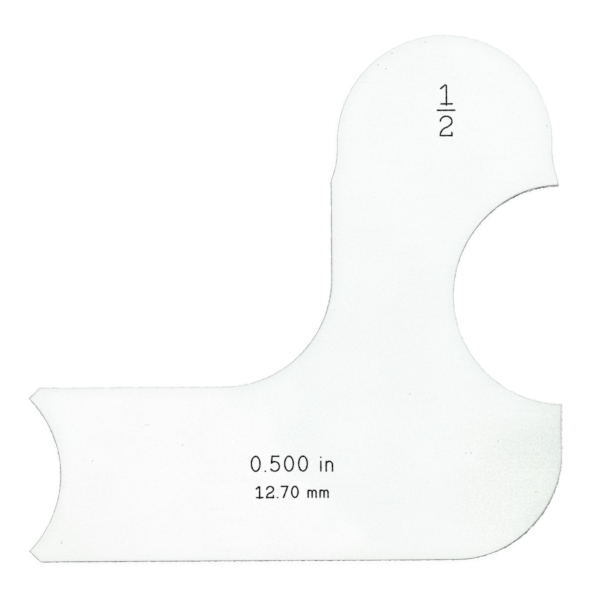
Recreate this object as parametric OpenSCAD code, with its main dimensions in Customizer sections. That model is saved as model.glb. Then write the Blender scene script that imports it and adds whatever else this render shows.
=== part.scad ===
// Radius gauge: one flat steel plate whose outline repeats a single radius five times,
// three times hollow and two times round, so that it can be held against a workpiece
// from whichever side suits the corner, fillet or bead being measured.
// The plate lies on its lower face, with the arm along X and the stem along Y.

/* [Gauging radius] */
// Radius of the dome, the heel, the side notch, the inner corner and the end notch
gauge_r = 12.7; // [9:0.1:14]

/* [Plate] */
// Thickness of the steel
thickness = 1.2; // [0.8:0.1:3]
// Bevel that takes the sharpness off every rim
edge_break = 0.15; // [0.05:0.05:0.3]
// Length from the two points of the end notch to the heel edge
overall_l = 63; // [56:0.1:90]

/* [Arm] */
// Width of the arm between its two straight edges
arm_w = 20.7; // [19:0.1:26]
// Angle that the hollow arc in the arm's end sweeps
end_sweep = 90; // [60:1:100]
// Height of the heel edge's upper point, where the side notch starts
heel_h = 18.5; // [14.5:0.1:20.5]

/* [Stem] */
// How far the stem is wider than the dome on each side
shoulder_w = 0.8; // [0.4:0.05:1.1]
// How far the stem's side lies back from the heel edge
stem_setback = 0.25; // [0.05:0.05:2]
// Radius of the relief that leads from the shoulder up into the neck
relief_r = 10; // [5:0.5:14]
// Height of the neck's lower end above the side notch
neck_rise = 4.8; // [4.2:0.1:9]
// Straight length of the neck between the relief and the dome
neck_h = 0.5; // [0.1:0.1:5]

/* [Hidden] */
$fn = 180;
// Overlap of areas that run into each other, and overshoot of cuts
lap = 1;

stem_w = 2 * (gauge_r + shoulder_w);
stem_left = -stem_setback - stem_w;
stem_mid = -stem_setback - stem_w / 2;
notch_y = heel_h + gauge_r;
neck_y = notch_y + gauge_r + neck_rise;
dome_y = neck_y + neck_h;
overall_h = dome_y + gauge_r;
end_x = -overall_l - gauge_r * cos(end_sweep / 2);
bevel_x = end_x + arm_w / 2 / tan(end_sweep / 2);

// The outline is drawn from the heel: X is 0 at the heel edge and Y is 0 at the base edge.

// Arm, with both points of its hollow end bevelled along radii of that arc
module arm() {
    difference() {
        polygon([[0, 0], [0, arm_w], [bevel_x, arm_w], [end_x, arm_w / 2], [bevel_x, 0]]);
        translate([end_x, arm_w / 2]) circle(gauge_r);
        translate([-gauge_r, gauge_r]) corner_outside_arc();
    }
}

// Square corner less a round of the gauging radius: waste at the heel, web in the inner corner
module corner_outside_arc() {
    difference() {
        translate([0, -gauge_r - lap]) square(gauge_r + lap);
        circle(gauge_r);
    }
}

// Stem with a relief at both shoulders, the neck and the dome
module stem() {
    translate([stem_mid, neck_y]) {
        difference() {
            translate([-stem_w / 2, arm_w - lap - neck_y]) square([stem_w, neck_y - arm_w + lap]);
            for (side = [-1, 1])
                translate([side * (gauge_r + relief_r), 0]) circle(relief_r);
        }
        translate([-gauge_r, -lap]) square([2 * gauge_r, lap + neck_h]);
        translate([0, neck_h]) circle(gauge_r);
    }
}

// Whole outline: arm, stem and inner corner, less the side notch
module outline() {
    difference() {
        union() {
            arm();
            stem();
            translate([stem_left - gauge_r, arm_w + gauge_r]) corner_outside_arc();
        }
        translate([0, notch_y]) circle(gauge_r);
    }
}

// Section of the cut that breaks a rim: X points out of the wall, Y is height above the face
module rim_section() {
    polygon([[edge_break, -2 * edge_break], [edge_break, edge_break], [-2 * edge_break, edge_break]]);
}

// The same cut at the upper and the lower face
module both_faces() {
    translate([0, 0, thickness]) children();
    mirror([0, 0, 1]) children();
}

// Rims of a straight edge that runs from a to b with the steel on its left,
// carried past an end where the outline turns a sharp corner
module straight_rims(a, b, past_a = 0, past_b = 0) {
    run = b - a;
    both_faces()
        translate(b)
            rotate([90, 0, atan2(-run[0], run[1])])
                translate([0, 0, -past_b]) linear_extrude(norm(run) + past_a + past_b) rim_section();
}

// Rims of an arc, round or hollow, from a starting angle
module arc_rims(centre, r, from = 0, sweep = 360, hollow = false) {
    both_faces()
        translate(centre)
            rotate(from)
                rotate_extrude(angle = sweep)
                    translate([r, 0]) mirror([hollow ? 1 : 0, 0]) rim_section();
}

// Plate with its rims broken all round, anticlockwise from the base edge
module gauge_plate() {
    past = 3 * edge_break;
    color([0.93, 0.94, 0.935])
        translate([overall_l / 2, -overall_h / 2, 0])
            difference() {
                linear_extrude(thickness) outline();
                straight_rims([bevel_x, 0], [-gauge_r, 0], past, 0);
                arc_rims([-gauge_r, gauge_r], gauge_r, 270, 90);
                straight_rims([0, gauge_r], [0, heel_h], 0, past);
                arc_rims([0, notch_y], gauge_r, hollow = true);
                straight_rims([-stem_setback, notch_y + gauge_r], [-stem_setback, neck_y], past, 0);
                arc_rims([stem_mid + gauge_r + relief_r, neck_y], relief_r, 180, 90, hollow = true);
                straight_rims([stem_mid + gauge_r, neck_y], [stem_mid + gauge_r, dome_y]);
                arc_rims([stem_mid, dome_y], gauge_r, 0, 180);
                straight_rims([stem_mid - gauge_r, dome_y], [stem_mid - gauge_r, neck_y]);
                arc_rims([stem_mid - gauge_r - relief_r, neck_y], relief_r, 270, 90, hollow = true);
                straight_rims([stem_left, neck_y], [stem_left, arm_w + gauge_r]);
                arc_rims([stem_left - gauge_r, arm_w + gauge_r], gauge_r, 270, 90, hollow = true);
                straight_rims([stem_left - gauge_r, arm_w], [bevel_x, arm_w], 0, past);
                straight_rims([bevel_x, arm_w], [end_x, arm_w / 2], past);
                arc_rims([end_x, arm_w / 2], gauge_r, hollow = true);
                straight_rims([end_x, arm_w / 2], [bevel_x, 0], 0, past);
            }
}

gauge_plate();
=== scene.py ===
"""Radius gauge: the looks of one flat steel leaf that lies on a white table, seen straight from above."""
import math

import bmesh
import bpy
import numpy as np
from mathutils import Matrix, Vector
from mathutils.geometry import delaunay_2d_cdt


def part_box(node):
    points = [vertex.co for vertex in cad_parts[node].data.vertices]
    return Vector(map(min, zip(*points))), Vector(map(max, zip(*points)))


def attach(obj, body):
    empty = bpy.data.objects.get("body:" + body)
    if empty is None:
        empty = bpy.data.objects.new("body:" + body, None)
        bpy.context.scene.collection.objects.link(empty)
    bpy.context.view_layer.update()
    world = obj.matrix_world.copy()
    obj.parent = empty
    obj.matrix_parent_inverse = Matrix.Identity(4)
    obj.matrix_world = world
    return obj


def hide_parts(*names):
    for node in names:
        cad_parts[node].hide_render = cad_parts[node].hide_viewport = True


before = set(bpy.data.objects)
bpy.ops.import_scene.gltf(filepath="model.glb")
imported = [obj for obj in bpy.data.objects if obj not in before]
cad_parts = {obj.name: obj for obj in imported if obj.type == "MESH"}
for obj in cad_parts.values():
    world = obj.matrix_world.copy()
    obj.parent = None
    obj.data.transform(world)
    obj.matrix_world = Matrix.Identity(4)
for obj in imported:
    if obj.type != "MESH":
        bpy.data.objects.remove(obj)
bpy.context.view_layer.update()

MM = 0.001

# The plate's box, mm
plate_low, plate_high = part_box("gauge_plate")
LEFT = plate_low.x / MM
RIGHT = plate_high.x / MM
BASE = plate_low.y / MM
TOP = plate_high.y / MM
FLOOR_Z = plate_low.z / MM
FACE_Z = plate_high.z / MM

# Outline sizes, mm and degrees, the same as the CAD part's
GAUGE_R = 12.7                # all five gauging arcs
ARM_W = 20.7
END_SWEEP = 90                # arc of the end notch
HEEL_H = 18.5
SHOULDER_W = 0.8
STEM_SETBACK = 0.25           # the stem's right side stands back from the heel's
RELIEF_R = 10.0
NECK_RISE = 4.8
EDGE_BREAK = 0.15

# How a face rolls off into its rim, mm and degrees
ROLL_W = 0.36                 # where the roll-off starts, in from the wall
ROLL_END = 24                 # its slope where the 45 degree bevel starts
ROLL_STEPS = 5
BEVEL_FOOT = EDGE_BREAK / 4   # the bevel is rounded into the wall over this

# How wide the rim is along the outline, against the plain one
DOME_RIM = 0.42               # the dome's rim is finer
DOME_RIM_Y = (12.0, 18.0)     # and turns so over this stretch, mm
UNEVEN_RIMS = (               # x, y and reach of a stretch, mm, and its widening
    (29.0, 12.0, 9.0, 0.75),      # lip of the side notch
    (31.0, -22.0, 14.0, 0.5),     # heel
    (28.5, -26.5, 6.0, 0.3),      # lower right of the heel
    (31.5, -14.5, 5.0, 0.5),      # right side of the heel
    (8.0, -31.0, 14.0, -0.12),    # right half of the base edge
    (-30.5, -26.5, 6.5, -0.4),    # lower left point of the arm
    (-15.0, -10.3, 14.0, -0.2),   # upper edge of the arm
)

# How finely the plate is meshed, mm and degrees
ARC_STEP = 1.5                # between points on a round stretch
SIDE_STEP = 1.0               # between points on a straight side
GRID = 1.0                    # between points inside a flat face
SPECK = 0.0001                # points closer than this are one point
FILL_SPECK = 1e-6             # the same while a face is filled
LEAST_SQUARE = 1e-12          # stands for the square of a side without length
CORNER_MITRE = 1.01           # an outline point whose mitre is longer than this is a corner
MITRE_PASSED = 0.99           # a point nearer the outline than this share of its inset passed a mitre
CREASE = 35                   # edges bent by more than this stay sharp
FLAT_NORMAL_Z = 0.99999       # a face that points up or down by more than this is flat
INSIDE_ONLY = 1               # the fill keeps only the triangles inside its border
EDGE_NOTE = "edge_mm"         # mesh attribute: each point's distance from the outline, mm
FACE, RIM, WALL = range(3)    # material slots of the plate
DARK_CUT, BRIGHT_CUT = range(2)   # material slots of the cutters

# Etched marks, mm and degrees
STROKE_W = 0.22
STROKE_DEPTH = 0.06
STROKE_STEP = 0.12            # between points along a stroke
STROKE_UNEVEN = 0.09          # share by which a stroke's cutter grows and shrinks
WOBBLE_WAVES = ((0.6, 8.0, 2.1), (0.4, 21.0, 3.7))    # share, radians a mm and radians a stroke
TUBE_SIDES = 16
CAP_STEP = 15                 # between rings of a cutter's round end
BOW_STEP = 12                 # between points of a letter's round stretch
LETTER_GAP = 0.36             # between letters, as a share of the cap height
WORD_GAP = 0.55
SIZE_MARK_X = 17.93
SIZE_MARK_BAR_Y = 22.05
SIZE_MARK_BAR_W = 2.06
SIZE_MARK_CAP = 2.28
ONE_FOOT_Y = 22.80
TWO_FOOT_Y = 19.07
READING_X = -0.45
READING_INCH_Y = -20.3
READING_INCH_CAP = 1.75
READING_METRIC_Y = -23.4
READING_METRIC_CAP = 1.30

# Small dirty pits and one bright nick on the upper face, mm
PIT_W = 0.10
PIT_DEPTH = 0.03
NICK_W = 0.09
NICK_DEPTH = 0.02
PITS = (
    (-23.91, -18.98), (-13.31, -17.16), (11.60, 28.82), (15.50, 30.10),
    (10.89, 27.00), (9.95, 27.42), (29.79, 20.13), (23.81, -16.90), (20.04, -18.29),
    (20.63, -18.29), (13.49, -11.31), (28.25, -22.93), (-27.64, -28.64), (-27.54, -28.44),
)
NICK = ((-17.70, -14.72), (-17.45, -14.82), (-17.15, -14.80))

# Where the tone of the faces changes, mm: (where the change starts, where it is full)
NEUTRAL_TO_COOL = (-21.5, -16.5)    # along x + COOL_SLANT * y, so the boundary slants across the arm
COOL_SLANT = 0.9
COOL_END_X = (-26.0, -31.5)         # the arm's left end is a little cool again
STEM_TO_DOME_Y = (-2.0, 22.0)
HEEL_TINT_X = (18.0, 25.0)
# where the painted shade of the heel grows, mm
HEEL_SHADE_X = (22.0, RIGHT)
HEEL_TOP_Y = (-11.5, -15.5)         # the tint and the painted shade start below the notch
BASE_TINT_Y = (-28.5, -31.5)
BASE_TINT_X = (0.0, 8.0)
CORNER_TINT_R = (15.0, 3.0)         # round the arm's lower left corner
CORNER_TINT_FLATTEN = 1.2
EDGE_FALL = (2.2, 0.0)              # painted shade: the faces darken towards their edge
TONE_DRIFT = 2.0                    # how far slow clouds shift the other changes
EDGE_DRIFT = 0.15                   # and the painted shade at the edge

# How strong those changes are
COOL_END = 0.7
BASE_TINT = 0.6
CORNER_TINT = 0.7
HEEL_SHADE_POWER = 1.6
EDGE_FALL_POWER = 2.5
SPECKLE = 0.014                     # the plain contrast of the speckle
HEEL_SPECKLE = 0.026                # and what is added at the heel
HEEL_SHADE_SPECKLE = 0.020                # and what is added where the heel is darkened by painted shade

# Colours of the steel, with its painted shade, and of the dirt in its marks
WHITE = (1, 1, 1, 1)
NEUTRAL_STEEL = (0.955, 0.957, 0.956, 1)
STEM_STEEL = (0.922, 0.947, 0.938, 1)
DOME_STEEL = (0.939, 0.959, 0.950, 1)
YELLOWED_STEEL = (0.917, 0.937, 0.904, 1)
# painted shade: the darker, greener steel where the light falls off at the heel's lower right
HEEL_SHADE_STEEL = (0.828, 0.869, 0.836, 1)
PAINTED_EDGE_SHADE = (0.950, 0.960, 0.957, 1)       # what the edge of a face keeps of its tone under the painted shade
WORN_RIM = (0.90, 0.915, 0.908, 1)
BRIGHT_RIM = (0.955, 0.962, 0.958, 1)
DARK_WALL = (0.50, 0.515, 0.51, 1)
LIGHT_WALL = (0.64, 0.65, 0.645, 1)
DARK_OXIDE = (0.004, 0.0042, 0.0042, 1)
LIGHT_OXIDE = (0.035, 0.037, 0.036, 1)

# Sizes of the noises, in waves a metre
CLOUD_WAVES = 110.0
SPECKLE_WAVES = 4300.0
GRAIN_WAVES = 5200.0
RIM_WEAR_WAVES = 900.0
RIM_NICK_WAVES = 2600.0
WALL_LINE_WAVES = 12000.0
WALL_DULL_WAVES = 260.0
OXIDE_WAVES = 4500.0
WALL_STRETCH = 0.03                 # scale along z, which draws out the wall's noises
HAIRLINES = ((12, 60, 5000), (-37, 80, 6000))   # degrees, waves a metre along and across

# The stretches of a noise's values that are used
NOISE_BODY = (0.3, 0.7)
NOISE_MIDDLE = (0.35, 0.65)
SPECKLE_BODY = (0.25, 0.75)
OXIDE_BODY = (0.3, 0.75)
SCRATCH_PEAKS = (0.70, 0.76)

# Roughness: ranges, and what the finer detail adds
FACE_ROUGH = (0.38, 0.41)
GRAIN_ROUGH = 0.03
SCRATCH_ROUGH = -0.06
EDGE_ROUGH = 0.02
RIM_ROUGH = (0.20, 0.13)
WALL_ROUGH = (0.36, 0.42)
OXIDE_ROUGH = (0.6, 0.8)

# The table: rings as (radius, height) in metres, and its gap under the plate in mm
TABLE_RINGS = ((3.0, 0.0), (3.15, 0.02), (3.25, 0.08), (3.3, 0.22))
TABLE_SIDES = 96
TABLE_GAP = 0.01
TABLE_GREY = (0.45, 0.45, 0.45, 1)
TABLE_GLOW = 0.70

# The light tent: brightness, where 1 is white, over parts of the unit direction
TOP_LIGHT = (1.09, 1.09, 1.09, 1)
SIDE_TO_TOP_Z = (0.62, 0.95)
SIDE_LIGHT = (0.44, 0.62)           # on the near side and on the far side
SIDE_REACH = (-0.85, 0.45)
FAR_LEAN = 0.28                     # the far side leans this much towards +X
LOW_TO_SIDE_Z = (0.20, 0.46)
LOW_LIGHT = 1.1
LOW_LEAST = 0.02
NEAR_DARK = 1.08
NEAR_DARK_REACH = (0.25, 0.95)
NEAR_DARK_TURN = -62                # where the low band is darkest, degrees from +X
LEFT_DIM = 0.74
LEFT_DIM_X = (-0.10, -1.0)

# The photograph's framing, mm and degrees
VIEW_WIDTH = 70.598                 # at the upper face
VIEW_DISTANCE = 900.0
VIEW_MIDDLE = (0.613, -0.176)
VIEW_TURN = 0.329
SENSOR_W = 36.0


def polar(centre, radius, degrees):
    """The point at that angle on a circle."""
    a = math.radians(degrees)
    return Vector((centre[0] + radius * math.cos(a), centre[1] + radius * math.sin(a)))


def arc(centre, radius, start, sweep):
    """Points along a round stretch, both ends included."""
    steps = max(1, round(abs(sweep) / ARC_STEP))
    return [polar(centre, radius, start + sweep * i / steps) for i in range(steps + 1)]


def split_sides(points):
    """The outline with more points along its straight sides, so that the rim can vary there."""
    split = []
    for i, start in enumerate(points):
        run = points[(i + 1) % len(points)] - start
        count = max(1, round(run.length / SIDE_STEP))
        split += [start + run * (k / count) for k in range(count)]
    return split


def plate_outline():
    """The plate's outline in mm, anticlockwise from the base edge: round stretches and straight sides."""
    arm_top = BASE + ARM_W
    stem_right = RIGHT - STEM_SETBACK
    stem_mid = stem_right - GAUGE_R - SHOULDER_W
    dome_y = TOP - GAUGE_R
    notch_y = BASE + HEEL_H + GAUGE_R
    relief_y = notch_y + GAUGE_R + NECK_RISE
    relief_x = GAUGE_R + RELIEF_R
    relief_sweep = math.degrees(math.acos(1 - SHOULDER_W / RELIEF_R))
    lip_angle = math.degrees(math.acos(-STEM_SETBACK / GAUGE_R))
    end_centre = (LEFT - GAUGE_R * math.cos(math.radians(END_SWEEP / 2)), BASE + ARM_W / 2)
    end_bevel = ARM_W / 2 - GAUGE_R * math.sin(math.radians(END_SWEEP / 2))
    corner_x = stem_mid - GAUGE_R - SHOULDER_W - GAUGE_R

    points = arc((RIGHT - GAUGE_R, BASE + GAUGE_R), GAUGE_R, -90, 90)
    points += arc((RIGHT, notch_y), GAUGE_R, 270, lip_angle - 270)
    points += arc((stem_mid + relief_x, relief_y), RELIEF_R, 180 + relief_sweep, -relief_sweep)
    points += arc((stem_mid, dome_y), GAUGE_R, 0, 180)
    points += arc((stem_mid - relief_x, relief_y), RELIEF_R, 0, -relief_sweep)
    points += arc((corner_x, arm_top + GAUGE_R), GAUGE_R, 0, -90)
    points.append(Vector((LEFT + end_bevel, arm_top)))
    points += arc(end_centre, GAUGE_R, END_SWEEP / 2, -END_SWEEP)
    points.append(Vector((LEFT + end_bevel, BASE)))
    return split_sides(points)


def outward(points):
    """For each outline point, how far it moves when the outline grows by 1, with mitred corners."""
    moves = []
    for i, point in enumerate(points):
        along_in = (point - points[i - 1]).normalized()
        along_out = (points[(i + 1) % len(points)] - point).normalized()
        normal_in = Vector((along_in.y, -along_in.x))
        normal_out = Vector((along_out.y, -along_out.x))
        moves.append((normal_in + normal_out) / (1 + normal_in.dot(normal_out)))
    return moves


def rim_profile():
    """(inset, depth) pairs from the face to the wall: the face rolls off slowly into a 45 degree bevel."""
    pairs = [(ROLL_W, 0.0)]
    roll = ROLL_W - EDGE_BREAK
    for i in range(ROLL_STEPS):
        share = (i + 1) / ROLL_STEPS
        middle = (i + 0.5) / ROLL_STEPS
        slope = math.tan(math.radians(ROLL_END * middle ** 2))
        depth = pairs[-1][1]
        pairs.append((ROLL_W - roll * share, depth + slope * roll / ROLL_STEPS))
    bevel_end = EDGE_BREAK + pairs[-1][1]
    pairs.append((BEVEL_FOOT, bevel_end - BEVEL_FOOT))
    pairs.append((BEVEL_FOOT / 4, bevel_end - BEVEL_FOOT / 8))
    pairs.append((0.0, bevel_end + BEVEL_FOOT / 2))
    return pairs


def rim_factor(point):
    """How wide the rim is at an outline point, against the plain one."""
    share = (point.y - DOME_RIM_Y[0]) / (DOME_RIM_Y[1] - DOME_RIM_Y[0])
    factor = 1 + (DOME_RIM - 1) * min(max(share, 0), 1)
    for x, y, reach, widening in UNEVEN_RIMS:
        gap = (point - Vector((x, y))).length / reach
        factor += widening * max(0, 1 - gap * gap) ** 2
    return factor


def edge_distance(spots):
    """How far each (x, y) spot in mm lies from the outline."""
    ends = np.array(plate_outline())
    runs = np.roll(ends, -1, axis=0) - ends
    spots = np.asarray(spots, float)
    nearest = np.full(len(spots), np.inf)
    for start, run in zip(ends, runs):
        share = np.clip((spots - start) @ run / max(run @ run, LEAST_SQUARE), 0, 1)
        gap = np.linalg.norm(spots - start - share[:, None] * run, axis=1)
        nearest = np.minimum(nearest, gap)
    return nearest


def inset_ring(points, moves, inset):
    """The outline moved inward. Points that would pass a corner's mitre are gathered on it."""
    ring = [point - move * (inset * rim_factor(point)) for point, move in zip(points, moves)]
    corners = [i for i, move in enumerate(moves) if move.length > CORNER_MITRE]
    gathered = []
    for point, inner, reached in zip(points, ring, edge_distance(ring)):
        if reached < MITRE_PASSED * inset * rim_factor(point):
            inner = ring[min(corners, key=lambda i: (points[i] - point).length)]
        gathered.append(inner)
    return gathered


def grid_spots():
    """Points in even, staggered rows over the plate's box, clear of its edge, in mm."""
    spots = []
    for row in range(int((TOP - BASE) / GRID)):
        stagger = GRID / 2 * (row % 2)
        for column in range(int((RIGHT - LEFT) / GRID)):
            spots.append((LEFT + column * GRID + stagger, BASE + (row + 0.5) * GRID))
    clear = edge_distance(spots) > ROLL_W + GRID / 2
    return [Vector(spot) for spot, kept in zip(spots, clear) if kept]


def fill_flat(bm, ring, spots):
    """Fills a ring at one height with small triangles through the spots that lie inside it."""
    border = [vert.co.xy / MM for vert in ring]
    sides = [(i, (i + 1) % len(border)) for i in range(len(border))]
    filled = delaunay_2d_cdt(border + spots, sides, [], INSIDE_ONLY, FILL_SPECK)
    places, _, corners, origins, _, _ = filled
    made = {}
    for triangle in corners:
        verts = []
        for k in triangle:
            if k not in made:
                first = min(origins[k])
                level = (places[k].x * MM, places[k].y * MM, ring[0].co.z)
                made[k] = ring[first] if first < len(ring) else bm.verts.new(level)
            verts.append(made[k])
        bm.faces.new(verts)


def plate_mesh():
    """The closed plate: lower face, lower rim, wall, upper rim and upper face."""
    points = plate_outline()
    moves = outward(points)
    profile = rim_profile()
    steps = [(inset, FLOOR_Z, depth) for inset, depth in profile]
    steps += [(inset, FACE_Z, -depth) for inset, depth in profile[::-1]]
    rim_slots = [FACE if i < ROLL_STEPS else RIM for i in range(len(profile) - 1)]
    bm = bmesh.new()
    rings = []
    for inset, level, rise in steps:
        ring = []
        for point, flat in zip(points, inset_ring(points, moves, inset)):
            z = level + rise * rim_factor(point)
            ring.append(bm.verts.new((flat.x * MM, flat.y * MM, z * MM)))
        rings.append(ring)
    for below, above, slot in zip(rings, rings[1:], rim_slots + [WALL] + rim_slots[::-1]):
        for i in range(len(points)):
            j = (i + 1) % len(points)
            bm.faces.new((below[i], below[j], above[j], above[i])).material_index = slot
    spots = grid_spots()
    fill_flat(bm, rings[0], spots)
    fill_flat(bm, rings[-1], spots)
    bmesh.ops.remove_doubles(bm, verts=bm.verts, dist=SPECK * MM)
    bmesh.ops.recalc_face_normals(bm, faces=bm.faces)
    mesh = bpy.data.meshes.new("gauge_leaf")
    bm.to_mesh(mesh)
    bm.free()
    return mesh


def bow(cx, cy, rx, ry, start, end):
    """Points of an elliptic arc, in degrees, both ends included."""
    steps = max(2, round(abs(end - start) / BOW_STEP))
    turn = [math.radians(start + (end - start) * i / steps) for i in range(steps + 1)]
    return [(cx + rx * math.cos(a), cy + ry * math.sin(a)) for a in turn]


def glyphs():
    """Single-stroke letters, one unit high: (width, strokes). A stroke of one point is a dot."""
    return {
        "0": (0.58, [bow(0.29, 0.5, 0.29, 0.5, 90, 270), bow(0.29, 0.5, 0.29, 0.5, 270, 450)]),
        "1": (0.60, [
            [(0.03, 0.79), (0.262, 0.985)],
            [(0.32, 0.945), (0.32, -0.05)],
            [(0.04, 0.0), (0.61, 0.0)],
        ]),
        "2": (0.62, [
            bow(0.31, 0.735, 0.30, 0.265, 175, -60) + bow(0.455, 0.0, 0.455, 0.445, 100, 180),
            [(0.0, 0.0), (0.61, 0.0)],
            [(0.61, 0.0), (0.60, 0.16)],
        ]),
        "5": (0.58, [
            [(0.54, 1.0), (0.10, 1.0)],
            [(0.10, 1.0), (0.05, 0.56)],
            bow(0.27, 0.32, 0.31, 0.32, 135, -145),
        ]),
        "7": (0.56, [[(0.0, 1.0), (0.56, 1.0)], [(0.56, 1.0), (0.18, 0.0)]]),
        ".": (0.0, [[(0.0, 0.0)]]),
        "i": (0.0, [[(0.0, 0.0), (0.0, 0.64)], [(0.0, 0.92)]]),
        "n": (0.42, [[(0.0, 0.0), (0.0, 0.64)], bow(0.21, 0.42, 0.21, 0.22, 180, 0) + [(0.42, 0.0)]]),
        "m": (0.72, [
            [(0.0, 0.0), (0.0, 0.64)],
            bow(0.18, 0.44, 0.18, 0.20, 180, 0) + [(0.36, 0.0)],
            bow(0.54, 0.44, 0.18, 0.20, 180, 0) + [(0.72, 0.0)],
        ]),
    }


def lettering(text, centre_x, foot_y, cap):
    """The strokes of one line of marks in mm, centred on centre_x with its feet on foot_y."""
    letters = glyphs()
    strokes = []
    cursor = 0.0
    for letter in text:
        if letter == " ":
            cursor += WORD_GAP
            continue
        width, lines = letters[letter]
        strokes += [[(x + cursor, y) for x, y in line] for line in lines]
        cursor += width + LETTER_GAP
    middle = (cursor - LETTER_GAP) / 2
    return [[(centre_x + (x - middle) * cap, foot_y + y * cap) for x, y in line] for line in strokes]


def mark_strokes():
    """Every etched stroke in mm: the size as a fraction on the dome, and plain readings on the arm."""
    strokes = lettering("1", SIZE_MARK_X, ONE_FOOT_Y, SIZE_MARK_CAP)
    half_bar = SIZE_MARK_BAR_W / 2
    strokes.append([(SIZE_MARK_X - half_bar, SIZE_MARK_BAR_Y), (SIZE_MARK_X + half_bar, SIZE_MARK_BAR_Y)])
    strokes += lettering("2", SIZE_MARK_X, TWO_FOOT_Y, SIZE_MARK_CAP)
    strokes += lettering("0.500 in", READING_X, READING_INCH_Y, READING_INCH_CAP)
    strokes += lettering("12.70 mm", READING_X, READING_METRIC_Y, READING_METRIC_CAP)
    return strokes


def even_steps(stroke):
    """The stroke's points with more between them, so that it can vary along its length."""
    path = [Vector(stroke[0])]
    for end in stroke[1:]:
        start = path[-1]
        run = Vector(end) - start
        count = max(1, round(run.length / STROKE_STEP))
        path += [start + run * ((i + 1) / count) for i in range(count)]
    return path


def wobble(along, stroke_number):
    """A smooth unevenness between -1 and 1 along a stroke, another one for each stroke."""
    return sum(share * math.sin(pace * along + shift * stroke_number) for share, pace, shift in WOBBLE_WAVES)


def path_ways(path):
    """The direction of travel at each point of a path."""
    ways = []
    for i in range(len(path)):
        way = path[min(i + 1, len(path) - 1)] - path[max(i - 1, 0)]
        ways.append(way.normalized() if way.length > 0 else Vector((1, 0)))
    return ways


def add_tube(bm, stations, slot):
    """A closed tube through the stations, each a centre, a sideways reach and an upward reach, in mm."""
    rings = []
    for centre, across, up in stations:
        ring = []
        for k in range(TUBE_SIDES):
            turn = 2 * math.pi * k / TUBE_SIDES
            flat = centre.xy + across * math.cos(turn)
            ring.append(bm.verts.new((flat.x * MM, flat.y * MM, (centre.z + up * math.sin(turn)) * MM)))
        rings.append(ring)
    faces = [bm.faces.new(rings[0][::-1]), bm.faces.new(rings[-1])]
    for first, second in zip(rings, rings[1:]):
        for k in range(TUBE_SIDES):
            n = (k + 1) % TUBE_SIDES
            faces.append(bm.faces.new((first[k], first[n], second[n], second[k])))
    for face in faces:
        face.material_index = slot
        face.smooth = True


def add_groove_cutter(bm, stroke, width, depth, slot, uneven=0.0, number=0):
    """A round-ended tube along the stroke, which cuts a hollow that wide and deep into the upper face."""
    radius = (width * width / 4 + depth * depth) / (2 * depth)
    centre_z = FACE_Z + radius - depth
    path = even_steps(stroke)
    ways = path_ways(path)
    along = 0.0
    body = []
    for i, (point, way) in enumerate(zip(path, ways)):
        along += (point - path[i - 1]).length if i else 0.0
        body.append((point, way, radius * (1 + uneven * wobble(along, number)), 0))
    start_cap = [body[0][:3] + (degrees,) for degrees in range(CAP_STEP - 90, 0, CAP_STEP)]
    end_cap = [body[-1][:3] + (degrees,) for degrees in range(CAP_STEP, 90, CAP_STEP)]
    stations = []
    for point, way, reach, degrees in start_cap + body + end_cap:
        a = math.radians(degrees)
        middle = point + way * (reach * math.sin(a))
        across = Vector((-way.y, way.x)) * (reach * math.cos(a))
        stations.append((Vector((middle.x, middle.y, centre_z)), across, reach * math.cos(a)))
    add_tube(bm, stations, slot)


def groove_cutters():
    """One mesh with the cutters of the marks, the pits and the nick."""
    bm = bmesh.new()
    for number, stroke in enumerate(mark_strokes()):
        add_groove_cutter(bm, stroke, STROKE_W, STROKE_DEPTH, DARK_CUT, STROKE_UNEVEN, number)
    for pit in PITS:
        add_groove_cutter(bm, [pit], PIT_W, PIT_DEPTH, DARK_CUT)
    add_groove_cutter(bm, NICK, NICK_W, NICK_DEPTH, BRIGHT_CUT)
    bmesh.ops.recalc_face_normals(bm, faces=bm.faces)
    mesh = bpy.data.meshes.new("marks")
    bm.to_mesh(mesh)
    bm.free()
    return mesh


def cut(piece, cutter_mesh):
    """Cuts the closed cutters out of the piece, and keeps each material on the faces it came with."""
    cutter = bpy.data.objects.new("cutter", cutter_mesh)
    bpy.context.scene.collection.objects.link(cutter)
    boolean = piece.modifiers.new("cut", "BOOLEAN")
    boolean.operation = "DIFFERENCE"
    boolean.solver = "EXACT"
    boolean.use_self = True
    boolean.material_mode = "TRANSFER"
    boolean.object = cutter
    depsgraph = bpy.context.evaluated_depsgraph_get()
    result = bpy.data.meshes.new_from_object(piece.evaluated_get(depsgraph), depsgraph=depsgraph)
    piece.modifiers.clear()
    piece.data = result
    bpy.data.objects.remove(cutter)


def tidy(mesh):
    """Joins the points that the cut left almost on one spot."""
    bm = bmesh.new()
    bm.from_mesh(mesh)
    bmesh.ops.remove_doubles(bm, verts=bm.verts, dist=SPECK * MM)
    bm.to_mesh(mesh)
    bm.free()


def crease(mesh):
    """Sharp edges round the flat faces and at the outline's corners, and smooth shading elsewhere."""
    mesh.set_sharp_from_angle(angle=math.radians(CREASE))
    bm = bmesh.new()
    bm.from_mesh(mesh)
    for face in bm.faces:
        face.smooth = abs(face.normal.z) < FLAT_NORMAL_Z
        if not face.smooth:
            for edge in face.edges:
                edge.smooth = False
    bm.to_mesh(mesh)
    bm.free()


def note_edges(mesh):
    """Stores each point's distance from the outline on the mesh."""
    flat = np.empty(len(mesh.vertices) * 3)
    mesh.vertices.foreach_get("co", flat)
    note = mesh.attributes.new(EDGE_NOTE, "FLOAT", "POINT")
    note.data.foreach_set("value", edge_distance(flat.reshape(-1, 3)[:, :2] / MM))


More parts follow.
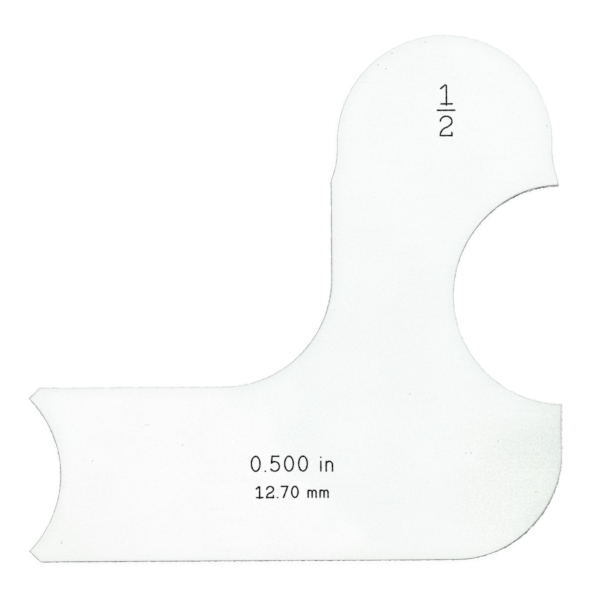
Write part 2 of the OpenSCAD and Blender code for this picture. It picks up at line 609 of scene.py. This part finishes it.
class Nodes:
    """A node tree with short calls: a given input is a constant, or a socket to link."""

    def __init__(self, tree):
        self.tree = tree
        tree.nodes.clear()

    def add(self, kind, inputs=None, **settings):
        """A new node with those settings and inputs."""
        node = self.tree.nodes.new(kind)
        for name, value in settings.items():
            setattr(node, name, value)
        for name, value in (inputs or {}).items():
            if isinstance(value, bpy.types.NodeSocket):
                self.tree.links.new(value, node.inputs[name])
            else:
                node.inputs[name].default_value = value
        return node

    def spread(self, value, source, target=(0.0, 1.0), kind="SMOOTHSTEP"):
        """value laid from the source range on the target range, and held at its ends."""
        inputs = {
            "Value": value,
            "From Min": source[0],
            "From Max": source[1],
            "To Min": target[0],
            "To Max": target[1],
        }
        return self.add("ShaderNodeMapRange", inputs, interpolation_type=kind).outputs["Result"]

    def noise(self, where, scale, detail=2.0, rough=0.5):
        """A noise of that many waves a metre, from 0 to 1."""
        inputs = {"Vector": where, "Scale": scale, "Detail": detail, "Roughness": rough}
        return self.add("ShaderNodeTexNoise", inputs).outputs["Fac"]

    def math(self, operation, *values):
        """One sum on single values."""
        return self.add("ShaderNodeMath", dict(enumerate(values)), operation=operation).outputs[0]

    def blend(self, factor, first, second):
        """first where factor is 0, second where it is 1. Sockets 6, 7 and 2 are the node's colours."""
        inputs = {0: factor, 6: first, 7: second}
        return self.add("ShaderNodeMix", inputs, data_type="RGBA").outputs[2]


def new_material(name):
    """An empty material and its nodes."""
    material = bpy.data.materials.new(name)
    material.use_nodes = True
    return material, Nodes(material.node_tree)


def hairlines(nodes, where, degrees, length_waves, width_waves):
    """Thin straight scratches, all at about one angle, 1 on a scratch and 0 beside it."""
    turned = nodes.add("ShaderNodeMapping", {
        "Vector": where,
        "Rotation": (0, 0, math.radians(degrees)),
        "Scale": (length_waves, width_waves, 1),
    }).outputs["Vector"]
    lines = nodes.noise(turned, 1.0, detail=1.0)
    return nodes.spread(lines, SCRATCH_PEAKS)


def face_place(nodes):
    """Object coordinates, x and y in mm that drift so that no tone ends on a clean line, and the clouds."""
    where = nodes.add("ShaderNodeTexCoord").outputs["Object"]
    clouds = nodes.noise(where, CLOUD_WAVES, detail=3.0)
    place = nodes.add("ShaderNodeSeparateXYZ", {0: where})
    drift = nodes.spread(clouds, NOISE_BODY, (-TONE_DRIFT, TONE_DRIFT))
    x = nodes.math("MULTIPLY_ADD", place.outputs["X"], 1 / MM, drift)
    y = nodes.math("MULTIPLY_ADD", place.outputs["Y"], 1 / MM, drift)
    return where, x, y, clouds


def coolness(nodes, x, y):
    """0 on the arm, where the steel is a neutral white, and 1 where it is cool."""
    right = nodes.spread(nodes.math("MULTIPLY_ADD", y, COOL_SLANT, x), NEUTRAL_TO_COOL)
    return nodes.math("MAXIMUM", right, nodes.spread(x, COOL_END_X, (0.0, COOL_END)))


def heel_share(nodes, x, y):
    """From 0 to 1 towards the heel."""
    return nodes.math("MULTIPLY", nodes.spread(x, HEEL_TINT_X), nodes.spread(y, HEEL_TOP_Y))


def yellowing(nodes, x, y, heel):
    """From 0 to 1: the heel, and fainter the base edge and the arm's lower left corner."""
    low = nodes.spread(y, BASE_TINT_Y, (0.0, BASE_TINT))
    base = nodes.math("MULTIPLY", low, nodes.spread(x, BASE_TINT_X))
    across = nodes.math("SUBTRACT", x, LEFT)
    up = nodes.math("MULTIPLY", nodes.math("SUBTRACT", y, BASE), CORNER_TINT_FLATTEN)
    squares = nodes.math("MULTIPLY_ADD", across, across, nodes.math("MULTIPLY", up, up))
    corner = nodes.spread(nodes.math("POWER", squares, 0.5), CORNER_TINT_R, (0.0, CORNER_TINT))
    return nodes.math("MAXIMUM", heel, nodes.math("MAXIMUM", base, corner))


def heel_end_shade(nodes, x, y):
    """Painted shade, from 0 to 1 along the heel, faster and faster towards its right end, where the light
    falls off.
    """
    along = nodes.math("POWER", nodes.spread(x, HEEL_SHADE_X, kind="LINEAR"), HEEL_SHADE_POWER)
    return nodes.math("MULTIPLY", along, nodes.spread(y, HEEL_TOP_Y))


def edge_fall(nodes, clouds):
    """1 at the edge of a face, and 0 a little way in: where the painted shade lies, and the edge's slightly
    rougher wear.
    """
    inward = nodes.add("ShaderNodeAttribute", attribute_name=EDGE_NOTE).outputs["Fac"]
    inward = nodes.math("ADD", inward, nodes.spread(clouds, NOISE_BODY, (-EDGE_DRIFT, EDGE_DRIFT)))
    return nodes.math("POWER", nodes.spread(inward, EDGE_FALL, kind="LINEAR"), EDGE_FALL_POWER)


def face_tone(nodes, x, y, yellow, dull_and_shade):
    """Nearly white steel, cool on the stem and dome, yellowed at the heel, and darkened with painted shade
    towards the heel's right end.
    """
    cool = nodes.blend(nodes.spread(y, STEM_TO_DOME_Y), STEM_STEEL, DOME_STEEL)
    clean = nodes.blend(coolness(nodes, x, y), NEUTRAL_STEEL, cool)
    tinted = nodes.blend(yellow, clean, YELLOWED_STEEL)
    # painted shade: the heel darkens towards its right end
    return nodes.blend(dull_and_shade, tinted, HEEL_SHADE_STEEL)


def face_colour(nodes, where, x, y, edge):
    """The faces' tone, with a speckle that is strongest at the heel, and painted shade darkening them
    towards the edge.
    """
    heel = heel_share(nodes, x, y)
    dull_and_shade = heel_end_shade(nodes, x, y)
    tone = face_tone(nodes, x, y, yellowing(nodes, x, y, heel), dull_and_shade)
    # painted shade: the faces darken towards their edge
    edge_shade_paint = nodes.blend(edge, WHITE, PAINTED_EDGE_SHADE)
    speckle = nodes.spread(nodes.noise(where, SPECKLE_WAVES, detail=1.5), SPECKLE_BODY, (-1.0, 1.0))
    contrast = nodes.math("MULTIPLY_ADD", dull_and_shade, HEEL_SHADE_SPECKLE, SPECKLE)
    contrast = nodes.math("MULTIPLY_ADD", heel, HEEL_SPECKLE, contrast)
    level = nodes.math("MULTIPLY_ADD", speckle, contrast, 1.0)
    speckled = nodes.add("ShaderNodeVectorMath", {0: tone, 3: level}, operation="SCALE").outputs[0]
    return nodes.add("ShaderNodeVectorMath", {0: speckled, 1: edge_shade_paint}, operation="MULTIPLY").outputs[0]


def satin_steel():
    """The satin-ground faces: a fine grain, a heel darkened with painted shade, tiny specks and a few
    hairlines.
    """
    material, nodes = new_material("satin_steel")
    where, x, y, clouds = face_place(nodes)
    edge = edge_fall(nodes, clouds)
    colour = face_colour(nodes, where, x, y, edge)
    scratch = nodes.math("MAXIMUM", *[hairlines(nodes, where, *lines) for lines in HAIRLINES])
    grain = nodes.noise(where, GRAIN_WAVES, detail=3.0, rough=0.6)
    cloudy = nodes.spread(clouds, NOISE_BODY, FACE_ROUGH)
    rough = nodes.math("ADD", cloudy, nodes.spread(grain, NOISE_BODY, (-GRAIN_ROUGH, GRAIN_ROUGH)))
    rough = nodes.math("MULTIPLY_ADD", scratch, SCRATCH_ROUGH, rough)
    rough = nodes.math("MULTIPLY_ADD", edge, EDGE_ROUGH, rough)
    bump = nodes.add("ShaderNodeBump", {
        "Height": nodes.math("MULTIPLY_ADD", scratch, -0.5, grain),
        "Strength": 0.5,
        "Distance": 0.02 * MM,
    })
    steel = nodes.add("ShaderNodeBsdfPrincipled", {
        "Base Color": colour,
        "Metallic": 1.0,
        "Roughness": rough,
        "Normal": bump.outputs["Normal"],
    })
    nodes.add("ShaderNodeOutputMaterial", {"Surface": steel.outputs[0]})
    return material


def broken_rim():
    """The bright bevel round both faces, worn unevenly along its length."""
    material, nodes = new_material("broken_rim")
    where = nodes.add("ShaderNodeTexCoord").outputs["Object"]
    wear = nodes.noise(where, RIM_WEAR_WAVES, detail=3.0)
    nicks = nodes.noise(where, RIM_NICK_WAVES)
    bump = nodes.add("ShaderNodeBump", {
        "Height": nodes.math("MULTIPLY_ADD", wear, 0.3, nicks),
        "Strength": 1.0,
        "Distance": 0.07 * MM,
    })
    steel = nodes.add("ShaderNodeBsdfPrincipled", {
        "Base Color": nodes.blend(nodes.spread(wear, NOISE_MIDDLE), WORN_RIM, BRIGHT_RIM),
        "Metallic": 1.0,
        "Roughness": nodes.spread(wear, NOISE_BODY, RIM_ROUGH),
        "Normal": bump.outputs["Normal"],
    })
    nodes.add("ShaderNodeOutputMaterial", {"Surface": steel.outputs[0]})
    return material


def ground_wall():
    """The narrow wall: greyer bare steel with fine grinding lines across it and faint dull stretches."""
    material, nodes = new_material("ground_wall")
    where = nodes.add("ShaderNodeTexCoord").outputs["Object"]
    stretch = {"Vector": where, "Scale": (1, 1, WALL_STRETCH)}
    upright = nodes.add("ShaderNodeMapping", stretch).outputs["Vector"]
    lines = nodes.noise(upright, WALL_LINE_WAVES, rough=0.6)
    dull_and_shade = nodes.noise(upright, WALL_DULL_WAVES)
    fine = nodes.spread(lines, NOISE_BODY, (0.0, 0.6))
    tone = nodes.math("ADD", fine, nodes.spread(dull_and_shade, NOISE_MIDDLE, (0.0, 0.4)))
    bump = nodes.add("ShaderNodeBump", {"Height": lines, "Strength": 0.25, "Distance": 0.005 * MM})
    steel = nodes.add("ShaderNodeBsdfPrincipled", {
        "Base Color": nodes.blend(tone, DARK_WALL, LIGHT_WALL),
        "Metallic": 1.0,
        "Roughness": nodes.spread(dull_and_shade, NOISE_BODY, WALL_ROUGH),
        "Normal": bump.outputs["Normal"],
    })
    nodes.add("ShaderNodeOutputMaterial", {"Surface": steel.outputs[0]})
    return material


def etched_mark():
    """The dark matt oxide in the etched strokes, and the dirt in the pits, uneven in tone."""
    material, nodes = new_material("etched_mark")
    where = nodes.add("ShaderNodeTexCoord").outputs["Object"]
    patches = nodes.noise(where, OXIDE_WAVES, detail=3.0, rough=0.6)
    bump = nodes.add("ShaderNodeBump", {"Height": patches, "Strength": 0.6, "Distance": 0.02 * MM})
    oxide = nodes.add("ShaderNodeBsdfPrincipled", {
        "Base Color": nodes.blend(nodes.spread(patches, OXIDE_BODY), DARK_OXIDE, LIGHT_OXIDE),
        "Roughness": nodes.spread(patches, NOISE_BODY, OXIDE_ROUGH),
        "Specular IOR Level": 0.1,
        "Normal": bump.outputs["Normal"],
    })
    nodes.add("ShaderNodeOutputMaterial", {"Surface": oxide.outputs[0]})
    return material


def gauge_leaf():
    """The plate with its marks, in place of the CAD plate."""
    piece = bpy.data.objects.new("gauge_leaf", plate_mesh())
    bpy.context.scene.collection.objects.link(piece)
    rim = broken_rim()
    for material in (satin_steel(), rim, ground_wall()):
        piece.data.materials.append(material)
    marks = groove_cutters()
    for material in (etched_mark(), rim):
        marks.materials.append(material)
    cut(piece, marks)
    tidy(piece.data)
    crease(piece.data)
    note_edges(piece.data)
    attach(piece, "root")
    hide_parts("gauge_plate")


def table_mesh():
    """A wide disc with an upturned rim."""
    corners = []
    for radius, height in TABLE_RINGS:
        for k in range(TABLE_SIDES):
            turn = 2 * math.pi * k / TABLE_SIDES
            corners.append((radius * math.cos(turn), radius * math.sin(turn), height))
    faces = [list(range(TABLE_SIDES))]
    for ring in range(len(TABLE_RINGS) - 1):
        for k in range(TABLE_SIDES):
            start = ring * TABLE_SIDES + k
            end = ring * TABLE_SIDES + (k + 1) % TABLE_SIDES
            faces.append((start, end, end + TABLE_SIDES, start + TABLE_SIDES))
    mesh = bpy.data.meshes.new("table_top")
    mesh.from_pydata(corners, [], faces)
    return mesh


def white_table():
    """A grey that takes the shadow, and a glow for what sees the table, so that it comes out white."""
    material, nodes = new_material("white_table")
    ray = nodes.add("ShaderNodeLightPath")
    seen = nodes.math("MAXIMUM", ray.outputs["Is Camera Ray"], ray.outputs["Is Glossy Ray"])
    seen = nodes.math("MAXIMUM", seen, ray.outputs["Is Transmission Ray"])
    paint = nodes.add("ShaderNodeBsdfDiffuse", {"Color": TABLE_GREY})
    glow = nodes.add("ShaderNodeEmission", {"Strength": nodes.math("MULTIPLY", seen, TABLE_GLOW)})
    both = nodes.add("ShaderNodeAddShader", {0: paint.outputs[0], 1: glow.outputs[0]})
    nodes.add("ShaderNodeOutputMaterial", {"Surface": both.outputs[0]})
    return material


def table_top():
    """The plain white table, just under the plate, whose rim turns up far outside the view."""
    floor = bpy.data.objects.new("table_top", table_mesh())
    floor.location.z = (FLOOR_Z - TABLE_GAP) * MM
    floor.data.materials.append(white_table())
    bpy.context.scene.collection.objects.link(floor)


def low_band(nodes, way):
    """The light near the horizon: bright on the far side, dim on the left and dark on the near right."""
    turn = math.radians(NEAR_DARK_TURN)
    along_y = nodes.math("MULTIPLY", way.outputs["Y"], math.sin(turn))
    towards_near = nodes.math("MULTIPLY_ADD", way.outputs["X"], math.cos(turn), along_y)
    near_dark = nodes.spread(towards_near, NEAR_DARK_REACH, (0.0, NEAR_DARK))
    left_dim = nodes.spread(way.outputs["X"], LEFT_DIM_X, (0.0, LEFT_DIM))
    low = nodes.math("SUBTRACT", nodes.math("SUBTRACT", LOW_LIGHT, near_dark), left_dim)
    return nodes.math("MAXIMUM", low, LOW_LEAST)


def studio_world():
    """A soft box overhead, dimmer walls, and a low band that the rims of the plate reflect."""
    world = bpy.data.worlds.new("tent")
    world.use_nodes = True
    nodes = Nodes(world.node_tree)
    way = nodes.add("ShaderNodeSeparateXYZ", {0: nodes.add("ShaderNodeTexCoord").outputs["Generated"]})
    far_side = nodes.math("MULTIPLY_ADD", way.outputs["X"], FAR_LEAN, way.outputs["Y"])
    side = nodes.spread(far_side, SIDE_REACH, SIDE_LIGHT)
    walls = nodes.blend(nodes.spread(way.outputs["Z"], LOW_TO_SIDE_Z), low_band(nodes, way), side)
    tent = nodes.blend(nodes.spread(way.outputs["Z"], SIDE_TO_TOP_Z), walls, TOP_LIGHT)
    shine = nodes.add("ShaderNodeBackground", {"Color": tent, "Strength": 1.0})
    nodes.add("ShaderNodeOutputWorld", {"Surface": shine.outputs[0]})
    bpy.context.scene.world = world


def camera():
    """Straight above the plate, at the photograph's framing and its slight turn."""
    lens = bpy.data.cameras.new("camera")
    lens.sensor_width = SENSOR_W
    lens.lens = SENSOR_W * VIEW_DISTANCE / VIEW_WIDTH
    view = bpy.data.objects.new("camera", lens)
    view.location = (VIEW_MIDDLE[0] * MM, VIEW_MIDDLE[1] * MM, (FACE_Z + VIEW_DISTANCE) * MM)
    view.rotation_euler = (0, 0, -math.radians(VIEW_TURN))
    bpy.context.scene.collection.objects.link(view)
    bpy.context.scene.camera = view


gauge_leaf()
table_top()
studio_world()
camera()
bpy.context.scene.view_settings.view_transform = "Standard"
